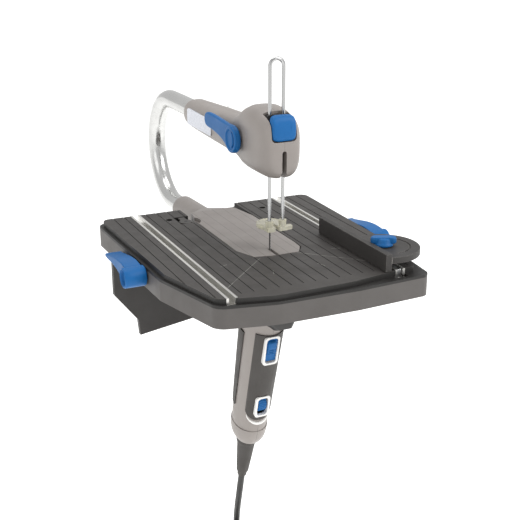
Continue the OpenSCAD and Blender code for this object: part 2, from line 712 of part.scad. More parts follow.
// route of the free cord from the strain relief down to the coil, then from the coil to the plug
lead_route = [[0, 60.8, -248.4], [0, 62.4, -254.6], [0, 64.2, -261.5], [0, 66.4, -270],
    [0.3, 69.5, -280], [1, 73.5, -290.5], [2.2, 78.3, -301], [3.7, 83.4, -311.5], [5.3, 88.2, -322],
    [7, 92.6, -332.5], [8.4, 96.4, -343], [9.3, 98.9, -353.5], [9.7, 100.1, -363],
    [9.75, 100.25, -372]];
tail_route = [[9.75, 93.7, -364], [11, 93.7, -372], [14, 93, -381], [17, 91, -390], [19, 87, -400],
    [19, 82, -410], [16, 76, -419], [11, 70, -426], [5, 65, -432], [1, 61.5, -439], [0, 60, -447]];

// swept tube: one ring of sides at each point of a route
sides = 10;
function side_of(t) = unit(cross(t, [1, 0.05, 0]));
function ring(p, t, r) = let(u = side_of(t), v = cross(t, u))
    [for (k = [0:sides - 1]) p + r * (cos(k * 360 / sides) * u + sin(k * 360 / sides) * v)];
module sweep(q, r) let(n = len(q)) polyhedron(
    points = [for (i = [0:n - 1]) each ring(q[i], unit(q[min(i + 1, n - 1)] - q[max(i - 1, 0)]), r)],
    faces = [[for (k = [0:sides - 1]) k], [for (k = [sides - 1:-1:0]) (n - 1) * sides + k],
        for (i = [0:n - 2], k = [0:sides - 1]) let(a = i * sides + k, b = i * sides + (k + 1) % sides)
            [a, a + sides, b + sides, b]]);

module cord() color(rubber) from_blade() {
    sweep(lead_route, cord_d / 2);
    sweep(tail_route, cord_d / 2);
}
// outer shape of the wound coil
module cord_coil() color(rubber) from_blade() translate([0, coil_y, coil_z]) rotate([0, 90, 0])
    rotate_extrude() translate([coil_r - cord_d, -2 * cord_d]) square([2 * cord_d, 4 * cord_d]);
// two-pin plug
module plug() color(rubber) from_blade() translate([0, 60, -446]) {
    translate([0, 0, -14]) cylinder(r1 = 7, r2 = 4.2, h = 14);
    hull() for (s = [-1, 1]) translate([0, s * 10, -40]) cylinder(r = 7, h = 26.5);
    for (s = [-1, 1]) translate([0, s * 9.5, -58.5]) cylinder(r = 2, h = 19);
}

table();
left_rail();
right_rail();
rail_screws();
bench_stop_plate();
seat_bar();
plate_screws();
left_clamp_jaw();
right_clamp_jaw();
left_jaw_pad();
right_jaw_pad();
left_clamp_lever();
right_clamp_lever();
left_lever_shaft();
right_lever_shaft();
left_lock_link();
right_lock_link();
saw_latch();
lower_arm();
gear_housing();
frame_tube();
arm_left_shell();
arm_right_shell();
arm_screws();
side_plate();
grip_left_shell();
grip_right_shell();
grip_front_pad();
grip_side_pads();
end_cap();
strain_relief();
switch_bezel();
dial_bezel();
power_switch();
switch_block();
speed_dial();
speed_board();
motor_can();
armature();
pinion();
motor_bearings();
crown_gear();
crank_axle();
plunger();
plunger_bush();
lower_blade_holder();
blade();
upper_blade_holder();
tension_lever();
lever_pin();
foot_lock_button();
hold_down_rod();
blade_foot();
guide_bar();
mitre_fence();
guide_stud();
guide_knob();
cord();
cord_coil();
plug();
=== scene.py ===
import json
import math
import bmesh
import bpy
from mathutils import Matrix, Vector


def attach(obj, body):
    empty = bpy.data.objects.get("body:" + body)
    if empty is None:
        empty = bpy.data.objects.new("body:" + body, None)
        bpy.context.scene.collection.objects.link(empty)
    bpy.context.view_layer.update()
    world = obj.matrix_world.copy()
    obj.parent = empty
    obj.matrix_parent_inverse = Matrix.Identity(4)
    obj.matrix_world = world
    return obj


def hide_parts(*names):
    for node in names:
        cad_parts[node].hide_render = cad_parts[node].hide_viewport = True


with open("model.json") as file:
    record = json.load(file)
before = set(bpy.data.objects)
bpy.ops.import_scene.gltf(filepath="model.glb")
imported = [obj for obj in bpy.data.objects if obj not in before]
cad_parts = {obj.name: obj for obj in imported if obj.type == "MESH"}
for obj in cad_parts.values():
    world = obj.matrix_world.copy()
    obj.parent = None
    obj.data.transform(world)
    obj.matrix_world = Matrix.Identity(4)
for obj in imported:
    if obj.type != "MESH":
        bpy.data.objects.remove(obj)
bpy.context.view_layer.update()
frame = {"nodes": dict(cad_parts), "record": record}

RECORD = frame["record"]
BODY = {n: b for b, ns in RECORD["behaviour"]["bodies"].items() for n in ns}
SLOT = {s["node"]: s["material_slot"] for s in RECORD["subparts"]}

# All pieces are drawn round the blade, in millimetres: X = 0, Y = 0 on the blade line and
# Z = 0 on the table top. at() moves a point from there into the row frame, in metres.
SEAT_BACK, TABLE_H = 135.0, 37.0
CRANK_Y, CRANK_Z, LEAN = 8.7, -47.0, math.radians(14.5)
GRIP_LEN = 161.0


def at(p):
    return Vector((p[0] / 1000, (p[1] - SEAT_BACK) / 1000, (p[2] + TABLE_H) / 1000))


def grip(x, v, w):
    """A point in the grip's own axes, v rearward and w up along the grip, to blade axes."""
    return (x, CRANK_Y + v * math.cos(LEAN) - w * math.sin(LEAN),
            CRANK_Z + v * math.sin(LEAN) + w * math.cos(LEAN))


# ---------------------------------------------------------------- camera

cam_data = bpy.data.cameras.new("camera")
cam = bpy.data.objects.new("camera", cam_data)
bpy.context.scene.collection.objects.link(cam)
cam_data.sensor_width = 36
cam_data.lens = 67.96
cam_data.clip_start, cam_data.clip_end = 0.05, 60
cam.location = (-0.33866, -0.84235, 0.30714)
yaw, pitch = math.radians(24.98), math.radians(19.64)
aim = Vector((math.sin(yaw) * math.cos(pitch), math.cos(yaw) * math.cos(pitch), -math.sin(pitch)))
cam.rotation_mode = "QUATERNION"
cam.rotation_quaternion = aim.to_track_quat("-Z", "Y")
bpy.context.scene.camera = cam
bpy.context.scene.view_settings.view_transform = "Standard"


# ---------------------------------------------------------------- mesh helpers

def link(ob):
    bpy.context.scene.collection.objects.link(ob)
    return ob


def made(name, bm, sharp=32):
    """An object from a bmesh in the row frame, smooth but for edges sharper than the angle."""
    bmesh.ops.remove_doubles(bm, verts=bm.verts, dist=1e-6)
    bmesh.ops.recalc_face_normals(bm, faces=bm.faces)
    for f in bm.faces:
        f.smooth = True
    for e in bm.edges:
        e.smooth = len(e.link_faces) == 2 and e.calc_face_angle(0) < math.radians(sharp)
    me = bpy.data.meshes.new(name)
    bm.to_mesh(me)
    bm.free()
    return link(bpy.data.objects.new(name, me))


def bevel(ob, width, segments=2, angle=32):
    """Rounded edges, width in millimetres."""
    b = ob.modifiers.new("bevel", "BEVEL")
    b.width, b.segments = width / 1000, segments
    b.limit_method, b.angle_limit = "ANGLE", math.radians(angle)
    b.harden_normals = False
    b.use_clamp_overlap = True
    w = ob.modifiers.new("normals", "WEIGHTED_NORMAL")
    w.keep_sharp = True
    w.weight = 60


def apply_modifiers(ob):
    deps = bpy.context.evaluated_depsgraph_get()
    me = bpy.data.meshes.new_from_object(ob.evaluated_get(deps))
    ob.modifiers.clear()
    ob.data = me


def carve(ob, cutters):
    """Cuts the cutters out of a piece, and stops if the cut leaves next to nothing of it."""
    for c in cutters:
        m = ob.modifiers.new("cut", "BOOLEAN")
        m.operation, m.solver, m.object = "DIFFERENCE", "EXACT", c
        m.use_self = False
    bpy.context.view_layer.update()
    before = max(ob.dimensions)
    apply_modifiers(ob)
    bpy.context.view_layer.update()
    if len(ob.data.polygons) < 100 or max(ob.dimensions) < 0.9 * before:
        raise RuntimeError(ob.name + ": the cut took the piece away")
    for c in cutters:
        bpy.data.objects.remove(c)


def loft(rings, closed_ends=True):
    """bmesh through rings of equally many points, given in blade axes."""
    bm = bmesh.new()
    vs = [[bm.verts.new(at(p)) for p in r] for r in rings]
    n = len(rings[0])
    for a, b in zip(vs, vs[1:]):
        for i in range(n):
            j = (i + 1) % n
            bm.faces.new((a[i], a[j], b[j], b[i]))
    if closed_ends:
        bm.faces.new(vs[0][::-1])
        bm.faces.new(vs[-1])
    return bm


def superellipse(hx, hy, e, n):
    out = []
    for i in range(n):
        a = 2 * math.pi * i / n
        c, s = math.cos(a), math.sin(a)
        out.append((hx * math.copysign(abs(c) ** (2 / e), c), hy * math.copysign(abs(s) ** (2 / e), s)))
    return out


def round_poly(points, n=5):
    """A closed outline through (x, y, radius) corners with rounded corners."""
    out, k = [], len(points)
    for i in range(k):
        a, b, c = (Vector(points[j % k][:2]) for j in (i - 1, i, i + 1))
        r = points[i][2]
        if r <= 0:
            out.append((b.x, b.y))
            continue
        u, v = (a - b).normalized(), (c - b).normalized()
        h = u.angle(v) / 2
        d = min(r / math.tan(h), (a - b).length * 0.49, (c - b).length * 0.49)
        r = d * math.tan(h)
        m = b + (u + v).normalized() * (r / math.sin(h))
        s, e = b + u * d - m, b + v * d - m
        for q in range(n + 1):
            out.append(tuple(m + (s * (n - q) / n + e * q / n).normalized() * r))
    return out


def prism(points, low, high, put):
    """bmesh between two levels of a closed outline; put(a, b, level) gives blade axes."""
    return loft([[put(a, b, low) for a, b in points], [put(a, b, high) for a, b in points]])


def flat(a, b, z):
    return (a, b, z)


def side(a, b, x):
    return (x, a, b)


def front(a, b, y):
    return (a, y, b)


def disc(cx, cy, r, n=48):
    angles = [2 * math.pi * i / n for i in range(n)]
    return [(cx + r * math.cos(a), cy + r * math.sin(a)) for a in angles]


def tube(path, radius, sides=24, caps=True):
    """bmesh of a round bar along a path in blade axes; radius may vary along it."""
    pts = [Vector(p) for p in path]
    r = radius if callable(radius) else (lambda t: radius)
    side_v = None
    rings = []
    for i, p in enumerate(pts):
        t = (pts[min(i + 1, len(pts) - 1)] - pts[max(i - 1, 0)]).normalized()
        if side_v is None:
            side_v = t.orthogonal().normalized()
        side_v = (side_v - t * side_v.dot(t)).normalized()
        w = t.cross(side_v)
        k = r(i / (len(pts) - 1))
        rings.append([p + (side_v * math.cos(a) + w * math.sin(a)) * k
                      for a in (2 * math.pi * j / sides for j in range(sides))])
    return loft(rings, caps)


def smooth_path(points, step):
    """Catmull-Rom curve through the points, sampled about every step."""
    p = [Vector(q) for q in points]
    p = [p[0] * 2 - p[1]] + p + [p[-1] * 2 - p[-2]]
    out = []
    for i in range(1, len(p) - 2):
        n = max(2, int((p[i + 1] - p[i]).length / step))
        for k in range(n):
            t = k / n
            out.append(0.5 * (2 * p[i] + (p[i + 1] - p[i - 1]) * t
                              + (2 * p[i - 1] - 5 * p[i] + 4 * p[i + 1] - p[i + 2]) * t * t
                              + (3 * p[i] - p[i - 1] - 3 * p[i + 1] + p[i + 2]) * t ** 3))
    out.append(p[-2])
    return out


# ---------------------------------------------------------------- materials

class Nodes:
    """Short spelling for building one procedural material."""

    def __init__(self, name):
        self.m = bpy.data.materials.new(name)
        self.m.use_nodes = True
        self.t = self.m.node_tree
        self.bsdf = self.t.nodes["Principled BSDF"]
        self.co = self.new("ShaderNodeTexCoord").outputs["Object"]

    def new(self, kind, **props):
        n = self.t.nodes.new(kind)
        for k, v in props.items():
            setattr(n, k, v)
        return n

    def wire(self, a, b):
        self.t.links.new(a, b)

    def set(self, socket, value):
        self.bsdf.inputs[socket].default_value = value

    def noise(self, scale, detail=4, rough=0.55, stretch=None):
        n = self.new("ShaderNodeTexNoise")
        n.inputs["Scale"].default_value = scale
        n.inputs["Detail"].default_value = detail
        n.inputs["Roughness"].default_value = rough
        src = self.co
        if stretch:
            mp = self.new("ShaderNodeMapping")
            mp.inputs["Scale"].default_value = stretch
            self.wire(self.co, mp.inputs["Vector"])
            src = mp.outputs["Vector"]
        self.wire(src, n.inputs["Vector"])
        return n.outputs["Fac"]

    def span(self, fac, a, b, lo=0.3, hi=0.7):
        n = self.new("ShaderNodeMapRange")
        for k, v in (("From Min", lo), ("From Max", hi), ("To Min", a), ("To Max", b)):
            n.inputs[k].default_value = v
        self.wire(fac, n.inputs["Value"])
        return n.outputs["Result"]

    def mix(self, fac, a, b):
        n = self.new("ShaderNodeMix", data_type="RGBA")
        if isinstance(fac, float):
            n.inputs[0].default_value = fac
        else:
            self.wire(fac, n.inputs[0])
        for s, v in ((6, a), (7, b)):
            if isinstance(v, tuple):
                n.inputs[s].default_value = (*v, 1)
            else:
                self.wire(v, n.inputs[s])
        return n.outputs[2]

    def math(self, op, a, b=None, c=None):
        n = self.new("ShaderNodeMath", operation=op)
        for i, v in enumerate((a, b, c)):
            if v is None:
                continue
            if isinstance(v, (int, float)):
                n.inputs[i].default_value = v
            else:
                self.wire(v, n.inputs[i])
        return n.outputs[0]

    def bump(self, height, strength, distance, normal=None):
        n = self.new("ShaderNodeBump")
        n.inputs["Strength"].default_value = strength
        n.inputs["Distance"].default_value = distance
        self.wire(height, n.inputs["Height"])
        if normal is not None:
            self.wire(normal, n.inputs["Normal"])
        return n.outputs["Normal"]

    def edge(self, radius):
        """1 on edges sharper than the radius, 0 on flats."""
        b = self.new("ShaderNodeBevel", samples=6)
        b.inputs["Radius"].default_value = radius
        d = self.new("ShaderNodeVectorMath", operation="DOT_PRODUCT")
        self.wire(b.outputs["Normal"], d.inputs[0])
        self.wire(self.new("ShaderNodeNewGeometry").outputs["True Normal"], d.inputs[1])
        return self.span(d.outputs["Value"], 1, 0, 0.80, 0.985)

    def xyz(self):
        n = self.new("ShaderNodeSeparateXYZ")
        self.wire(self.co, n.inputs[0])
        return n.outputs


def shade(c, k):
    return tuple(min(1.0, x * k) for x in c)


def plastic(name, rgb, rough=0.5, grain=1400, depth=0.00004, var=0.10, wear=None, strength=0.35,
            extra=None, shine=0.5):
    n = Nodes(name)
    cloud = n.noise(22, 3)
    speck = n.noise(420, 2, 0.7)
    col = n.mix(n.span(cloud, 0, 1), shade(rgb, 1 - var), shade(rgb, 1 + var))
    col = n.mix(n.span(speck, 0, 0.35, 0.5, 0.8), col, shade(rgb, 1 - 1.6 * var))
    if wear:
        edge = n.math("MULTIPLY", n.edge(0.0009), n.span(n.noise(140, 4), 0.15, 1))
        col = n.mix(edge, col, wear)
    normal = None
    if extra:
        col, normal = extra(n, col)
    n.wire(col, n.bsdf.inputs["Base Color"])
    n.wire(n.span(n.noise(60, 4), rough - 0.07, rough + 0.07), n.bsdf.inputs["Roughness"])
    n.wire(n.bump(n.noise(grain, 3, 0.6), strength, depth, normal), n.bsdf.inputs["Normal"])
    n.set("Specular IOR Level", shine)
    return n.m


def metal(name, rgb, rough=0.3, stretch=(30, 900, 900), depth=0.00002, var=0.08, strength=0.3):
    n = Nodes(name)
    line = n.noise(1.0, 4, 0.6, stretch)
    col = n.mix(n.span(n.noise(30, 3), 0, 1), shade(rgb, 1 - var), shade(rgb, 1 + var))
    col = n.mix(n.span(line, 0, 0.3), col, shade(rgb, 0.8))
    n.wire(col, n.bsdf.inputs["Base Color"])
    n.set("Metallic", 1.0)
    n.wire(n.span(line, rough - 0.08, rough + 0.1), n.bsdf.inputs["Roughness"])
    n.wire(n.bump(line, strength, depth), n.bsdf.inputs["Normal"])
    return n.m


def near(n, value, target, half):
    """1 where value is within half of target."""
    return n.math("COMPARE", value, target, half)


def table_marks(n, col):
    """Scribed angle lines and arcs round the blade, painted shade in the grooves, a painted shadow in a band
    below the deck and paler patches of painted light on the skirt.
    """
    x, y, z = n.xyz()
    yb = n.math("ADD", y, SEAT_BACK / 1000)
    zb = n.math("SUBTRACT", z, TABLE_H / 1000)
    top = n.math("GREATER_THAN", zb, -0.0004)
    r = n.math("SQRT", n.math("ADD", n.math("MULTIPLY", x, x), n.math("MULTIPLY", yb, yb)))
    ahead = n.math("LESS_THAN", yb, -0.006)
    dark = None
    for radius in (0.040, 0.066):
        line = n.math("MULTIPLY", near(n, r, radius, 0.00022), ahead)
        dark = line if dark is None else n.math("MAXIMUM", dark, line)
    col = n.mix(n.math("MULTIPLY", n.math("MULTIPLY", dark, top), 0.75), col, (0.012, 0.011, 0.010))
    pale = None
    for sx in (-1, 1):
        for deg, r0, r1 in ((45, 0.024, 0.104), (22.5, 0.052, 0.060), (67.5, 0.052, 0.060)):
            c, s = math.cos(math.radians(deg)), math.sin(math.radians(deg))
            off = n.math("ADD", n.math("MULTIPLY", x, s), n.math("MULTIPLY", yb, sx * c))
            line = n.math("MULTIPLY", near(n, off, 0.0, 0.00022), ahead)
            line = n.math("MULTIPLY", line, near(n, r, (r0 + r1) / 2, (r1 - r0) / 2))
            pale = line if pale is None else n.math("MAXIMUM", pale, line)
    fade = n.span(n.noise(90, 3), 0.25, 0.8)
    col = n.mix(n.math("MULTIPLY", n.math("MULTIPLY", pale, top), fade), col, (0.42, 0.41, 0.38))
    # painted shade: the grooves are darkened almost to black, for the shade that falls in them
    groove = n.math("MULTIPLY", n.math("LESS_THAN", zb, -0.00015), n.math("GREATER_THAN", zb, -0.0009))
    col = n.mix(n.math("MULTIPLY", groove, 0.8), col, (0.010, 0.009, 0.008))
    # painted shadow: a band from just under the deck rim to 6.8 mm down is darkened, for the shade below the
    # deck
    step = n.math("MULTIPLY", n.math("LESS_THAN", zb, -0.0007), n.math("GREATER_THAN", zb, -0.0068))
    col = n.mix(n.math("MULTIPLY", step, 0.96), col, (0.010, 0.009, 0.008))
    # painted light: the skirt below the dark band is made paler in noisy patches, for the light falling on it
    low = n.math("LESS_THAN", zb, -0.0068)
    skirt_light_noise = n.noise(26, 4, 0.55)
    return n.mix(n.math("MULTIPLY", low, n.span(skirt_light_noise, 0.62, 0.92)), col, (0.094, 0.086, 0.081)), None


def insert_lines(n, col):
    """Fine grooves on the saw's foot in line with those of the table, drawn as dark lines of painted shade.
    """
    x, y, z = n.xyz()
    top = n.math("GREATER_THAN", z, TABLE_H / 1000 - 0.0004)
    k = n.math("PINGPONG", n.math("ADD", x, 0.00525), 0.00525)
    # painted shade: dark lines where the grooves would lie in shade
    line = n.math("MULTIPLY", near(n, k, 0.00525, 0.0003), top)
    return n.mix(n.math("MULTIPLY", line, 0.55), col, (0.10, 0.092, 0.086)), None


def rail_floor(name):
    n = Nodes(name)
    x, y, z = n.xyz()
    low = n.math("LESS_THAN", z, TABLE_H / 1000 - 0.004)
    line = n.noise(1.0, 4, 0.6, (900, 25, 900))
    col = n.mix(n.span(line, 0, 0.5), (0.74, 0.73, 0.70), (0.56, 0.55, 0.52))
    grit = n.noise(1500, 3, 0.7)
    dull = n.mix(n.span(grit, 0, 1), (0.56, 0.55, 0.52), (0.76, 0.75, 0.72))
    n.wire(n.mix(low, col, dull), n.bsdf.inputs["Base Color"])
    n.set("Metallic", 0.85)
    n.wire(n.span(line, 0.24, 0.42), n.bsdf.inputs["Roughness"])
    n.wire(n.bump(grit, 0.25, 0.00003), n.bsdf.inputs["Normal"])
    return n.m


def seam(n, col):
    """A thin parting line where two moulded halves meet."""
    x, y, z = n.xyz()
    line = near(n, x, 0.0, 0.00016)
    return n.mix(n.math("MULTIPLY", line, 0.6), col, (0.08, 0.075, 0.07)), None


def ribbed(n, col):
    """Fine moulded texture of a soft grip."""
    v = n.new("ShaderNodeTexVoronoi")
    v.inputs["Scale"].default_value = 900
    n.wire(n.co, v.inputs["Vector"])
    return col, n.bump(v.outputs["Distance"], 0.5, 0.00008)


def clear(name):
    n = Nodes(name)
    swirl = n.noise(95, 3)
    col = n.mix(n.span(swirl, 0, 1), (0.93, 0.91, 0.78), (0.80, 0.77, 0.60))
    n.wire(col, n.bsdf.inputs["Base Color"])
    n.set("Transmission Weight", 0.55)
    n.set("IOR", 1.49)
    n.wire(n.span(n.noise(160, 3), 0.10, 0.28), n.bsdf.inputs["Roughness"])
    n.wire(n.bump(swirl, 0.5, 0.0009), n.bsdf.inputs["Normal"])
    return n.m


WEAR = (0.30, 0.28, 0.26)
GREY = (0.262, 0.236, 0.219)
BLUE = (0.008, 0.108, 0.315)
DARK = (0.038, 0.034, 0.031)
M = {
    "table": plastic("table_plastic", DARK, 0.55, 1600, 0.00005, 0.10, None, 0.4, table_marks),
    "dark": plastic("dark_plastic", DARK, 0.5, 1500, 0.00004, 0.10, WEAR),
    "black": plastic("black_plastic", (0.022, 0.020, 0.019), 0.42, 1500, 0.00004, 0.12),
    "warm": plastic("warm_grey_plastic", GREY, 0.42, 1800, 0.00003, 0.05, None, 0.3, seam),
    "insert": plastic("insert_plastic", (0.24, 0.218, 0.204), 0.5, 1600, 0.00004, 0.06, None, 0.35,
                      insert_lines),
    "blue": plastic("blue_plastic", BLUE, 0.46, 1700, 0.00002, 0.07, None, 0.25, None, 0.22),
    "white": plastic("white_plastic", (0.78, 0.77, 0.75), 0.38, 1500, 0.00002, 0.03),
    "label": plastic("label_film", (0.60, 0.62, 0.68), 0.25, 1200, 0.00001, 0.04),
    "rubber": plastic("soft_rubber", (0.045, 0.040, 0.036), 0.62, 1200, 0.00005, 0.10, None, 0.4, ribbed),
    "cord": plastic("cord_sheath", (0.030, 0.029, 0.028), 0.5, 900, 0.00003, 0.10),
    "paint": plastic("dark_paint", (0.028, 0.025, 0.023), 0.55, 1300, 0.00004, 0.12, (0.33, 0.31, 0.29)),
    "board": plastic("circuit_board", (0.02, 0.12, 0.05), 0.4, 1500, 0.00002, 0.15),
    "alu": rail_floor("rail_aluminium"),
    "steel": metal("machined_steel", (0.60, 0.60, 0.60), 0.34, (600, 600, 60)),
    "chrome": metal("satin_chrome", (0.60, 0.60, 0.59), 0.22, (260, 40, 260), 0.00001, 0.03, 0.12),
    "bright": metal("bright_wire", (0.47, 0.47, 0.47), 0.20, (400, 400, 20), 0.000006, 0.03, 0.1),
    "blade": metal("saw_blade_steel", (0.13, 0.13, 0.13), 0.36, (600, 600, 60)),
    "brass": metal("machined_brass", (0.62, 0.45, 0.18), 0.32, (500, 500, 60)),
    "clear": clear("clear_plastic"),
}
SLOT_MAT = {"dark_plastic": "dark", "warm_grey_plastic": "warm", "black_plastic": "black",
            "painted_steel": "paint", "steel": "steel", "aluminium": "alu", "chrome": "chrome",
            "blue_plastic": "blue", "white_plastic": "white", "rubber": "rubber", "cord_rubber": "cord",
            "brass": "brass", "board_green": "board", "clear_plastic": "clear"}
SPECIAL = {"table": "table", "lower_arm": "insert", "side_plate": "label", "hold_down_rod": "bright",
           "armature": "steel", "saw_latch": "dark", "blade": "blade"}


def mat_of(node):
    return M[SPECIAL.get(node, SLOT_MAT[SLOT[node]])]


def dress(ob, node, *nodes, material=None, hide=True):
    """The piece stands for the nodes: same body, their material."""
    ob.data.materials.clear()
    ob.data.materials.append(material or mat_of(node))
    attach(ob, BODY[node])
    if hide:
        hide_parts(node, *nodes)
    return ob


def refine(node, width=0.4, segments=2, angle=30, name=None):
    """The CAD shape with its flats rejoined and its edges rounded as moulded or machined ones are."""
    bm = bmesh.new()
    bm.from_mesh(frame["nodes"][node].data)
    bmesh.ops.remove_doubles(bm, verts=bm.verts, dist=2e-6)
    bmesh.ops.dissolve_limit(bm, angle_limit=math.radians(0.6), verts=bm.verts, edges=bm.edges)
    ob = made(name or node + "_piece", bm, angle)
    bevel(ob, width, segments, angle)
    return dress(ob, node)


# ---------------------------------------------------------------- cord, coil, tie and plug

CORD_D = 6.5
lead = [(0, 60.8, -248.4), (0, 62.4, -254.6), (0, 64.2, -261.5), (0, 66.4, -270), (0.3, 69.5, -280),
        (1, 73.5, -290.5), (2.2, 78.3, -301), (3.7, 83.4, -311.5), (5.3, 88.2, -322), (7, 92.6, -332.5),
        (8.4, 96.4, -343), (9.3, 98.9, -353.5), (9.7, 100.1, -363)]
turns = []
CY, CZ, OUT, INN, COL = 60, -372, 40.25, 33.75, 9.75
WOUND = 2507  # degrees of winding, out along one layer and back along the next
for k in range(0, WOUND - 20, 12):
    a = math.radians(-k)
    if k < 1080:
        x, r = COL - 2 * COL * k / 1080, OUT
    elif k < 1427:
        t = (k - 1080) / 347
        x, r = -COL - 0.7 * math.sin(math.pi * t), OUT - (OUT - INN) * math.sqrt(1 - (1 - t) ** 2)
    else:
        x, r = -COL + 2 * COL * (k - 1427) / 1080, INN
    turns.append((x, CY + r * math.cos(a), CZ + r * math.sin(a)))
tail = [(11, 93.7, -372), (14, 93, -381), (17, 91, -390), (19, 87, -400), (19, 82, -410), (16, 76, -419),
        (11, 70, -426), (5, 65, -432), (1, 61.5, -439), (0, 60, -447)]
route = smooth_path(lead + turns + tail, 4)
curve = bpy.data.curves.new("cord_line", "CURVE")
curve.dimensions = "3D"
spline = curve.splines.new("POLY")
spline.points.add(len(route) - 1)
for pt, q in zip(spline.points, route):
    pt.co = (*at(q), 1)
curve.bevel_depth = CORD_D / 2000
curve.bevel_resolution = 6
cord = link(bpy.data.objects.new("cord_run", curve))
dress(cord, "cord", "cord_coil")

rings = []
N = 56
for z, rx, ry in ((0, 4.2, 4.2), (-5, 5.3, 5.3), (-10.5, 6.3, 6.3), (-13.2, 6.9, 9), (-14.2, 7, 14.5),
                  (-17, 7, 16.6), (-24, 6.6, 16.2), (-33, 6.9, 16.8), (-38.6, 7, 17), (-40, 6.4, 16.4)):
    squareness = 2.0 + 1.2 * min(1, max(0, (-z - 12) / 4))
    rings.append([(a, CY + b, -446 + z) for a, b in superellipse(rx, ry, squareness, N)])
plug_body = made("plug_body", loft(rings), 60)
bevel(plug_body, 0.5, 2, 50)
dress(plug_body, "plug")
for s in (-1, 1):
    pin_path = [(0, CY + s * 9.5, -485.5 - 0.5 * i) for i in range(38)]
    pin = made("plug_pin_" + ("left" if s < 0 else "right"),
               tube(pin_path, lambda t: 2.0 if t < 0.94 else 2.0 - 1.2 * ((t - 0.94) / 0.06) ** 2, 24))
    pin.data.materials.append(M["bright"])
    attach(pin, BODY["plug"])

# a soft tie, wound round the turns at the top of the coil
loop = superellipse(16.4, 9.6, 3.2, 40)
tie_rings = []
for i in range(2 * 40 + 6):
    a, b = loop[i % 40]
    ang = math.radians(58)
    rr = 37 + b
    y0, z0 = CY + rr * math.cos(ang), CZ + rr * math.sin(ang)
    k = 1 + 0.035 * (i / 40)
    mid = Vector((a * k, y0, z0))
    out = Vector((a, b * math.cos(ang), b * math.sin(ang))).normalized()
    across = Vector((0, -math.sin(ang), math.cos(ang)))
    shift = across * (0.9 * (i / 40 - 1))
    tie_rings.append([mid + shift + out * o + across * c for o, c in
                      ((0, -2.4), (0.9, -2.4), (1.1, -1.2), (1.1, 1.2), (0.9, 2.4), (0, 2.4), (-0.2, 0))])
tie = made("cord_tie", loft(tie_rings), 50)
tie.data.materials.append(M["black"])
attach(tie, BODY["cord"])

# ---------------------------------------------------------------- upper arm and head

def section(y, hx, z0, z1, e=3.0, n=64):
    return [(a, y, (z0 + z1) / 2 + b) for a, b in superellipse(hx, (z1 - z0) / 2, e, n)]


# stations from the rear end of the arm to the front of the head: y, half width, bottom, top, squareness
ARM = [
    (166.3, 9.0, 79.5, 96.0, 2.2), (165.8, 11.4, 76.8, 98.8, 2.2), (164.2, 12.6, 75.4, 100.0, 2.3),
    (160.5, 13.1, 74.6, 100.8, 2.4),
    (153, 13.4, 74.1, 101.0, 2.5), (140, 13.8, 74, 101.4, 2.7), (120, 14.3, 73.6, 102.2, 2.8),
    (100, 14.8, 73.2, 103.0, 2.9),
    (80, 15.2, 72.8, 103.6, 2.9), (62, 15.8, 72.4, 104.4, 2.9), (50, 16.2, 72.0, 106.0, 2.9),
    (42, 16.6, 71.5, 109.0, 2.8),
    (34, 17.2, 69.8, 113.4, 2.9), (26, 18.0, 67.4, 117.6, 3.0), (17, 18.7, 66.6, 120.8, 3.1),
    (8, 19.0, 66.6, 121.8, 3.2),
    (-1, 19.0, 66.6, 121.0, 3.2), (-9, 18.7, 66.6, 119.2, 3.2), (-16, 17.9, 66.6, 117.6, 3.2),
    (-21, 16.4, 67.1, 116.2, 3.1),
    (-24.3, 14.4, 68.3, 114.6, 2.9), (-26, 11.8, 70.2, 112.0, 2.7), (-26.6, 8.6, 73.0, 108.0, 2.5),
    (-26.8, 4.0, 82.0, 99.0, 2.2),
]
arm = made("arm_and_head", loft([section(*station) for station in ARM]), 60)
window = round_poly([(-11, 97.4, 3.5), (11, 97.4, 3.5), (11, 130, 0), (-11, 130, 0)])
slot_cut = round_poly([(-2.0, 60, 0), (2.0, 60, 0), (2.0, 90, 1.9), (-2.0, 90, 1.9)])
under = round_poly([(-2.6, -30, 0), (2.6, -30, 0), (2.6, 3.5, 2.5), (-2.6, 3.5, 2.5)])
cuts = [made("cut_window", prism(window, -40, -8.8, front)),
        made("cut_slot", prism(slot_cut, -40, -2, front)),
        made("cut_under", prism(under, 60, 72, flat)),
        made("cut_bore", tube([(0, 130, 89), (0, 180, 89)], 9.05, 48))]
carve(arm, cuts)
bevel(arm, 0.7, 3, 40)
dress(arm, "arm_left_shell", "arm_right_shell")

# dark throat behind the button, round the two wires
throat_outline = round_poly([(-10.6, 98.5, 3), (10.6, 98.5, 3), (9.6, 117.2, 3), (-9.6, 117.2, 3)])
throat = made("button_throat", prism(throat_outline, -13.9, -9.0, front))
throat.data.materials.append(M["black"])
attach(throat, "saw")

# lock button: a crowned block, its top leaning back
button_rings = []
for y, k in ((-20.8, 1.0), (-24.2, 1.0), (-26.2, 0.985), (-27.2, 0.93), (-27.7, 0.82), (-27.9, 0.5)):
    ring = []
    for a, b in superellipse(10.4 * k, 10.2 * k, 5.0, 48):
        z = 108.2 + b
        lean_back = max(0.0, (z - 108) / 10.2) ** 2 * 4.0
        ring.append((a, y + lean_back * (1 if y < -21 else 0.3), z))
    button_rings.append(ring)
button = made("lock_button", loft(button_rings), 50)
bevel(button, 0.5, 3, 45)
dress(button, "foot_lock_button")

# ---------------------------------------------------------------- tension lever on the left of the arm

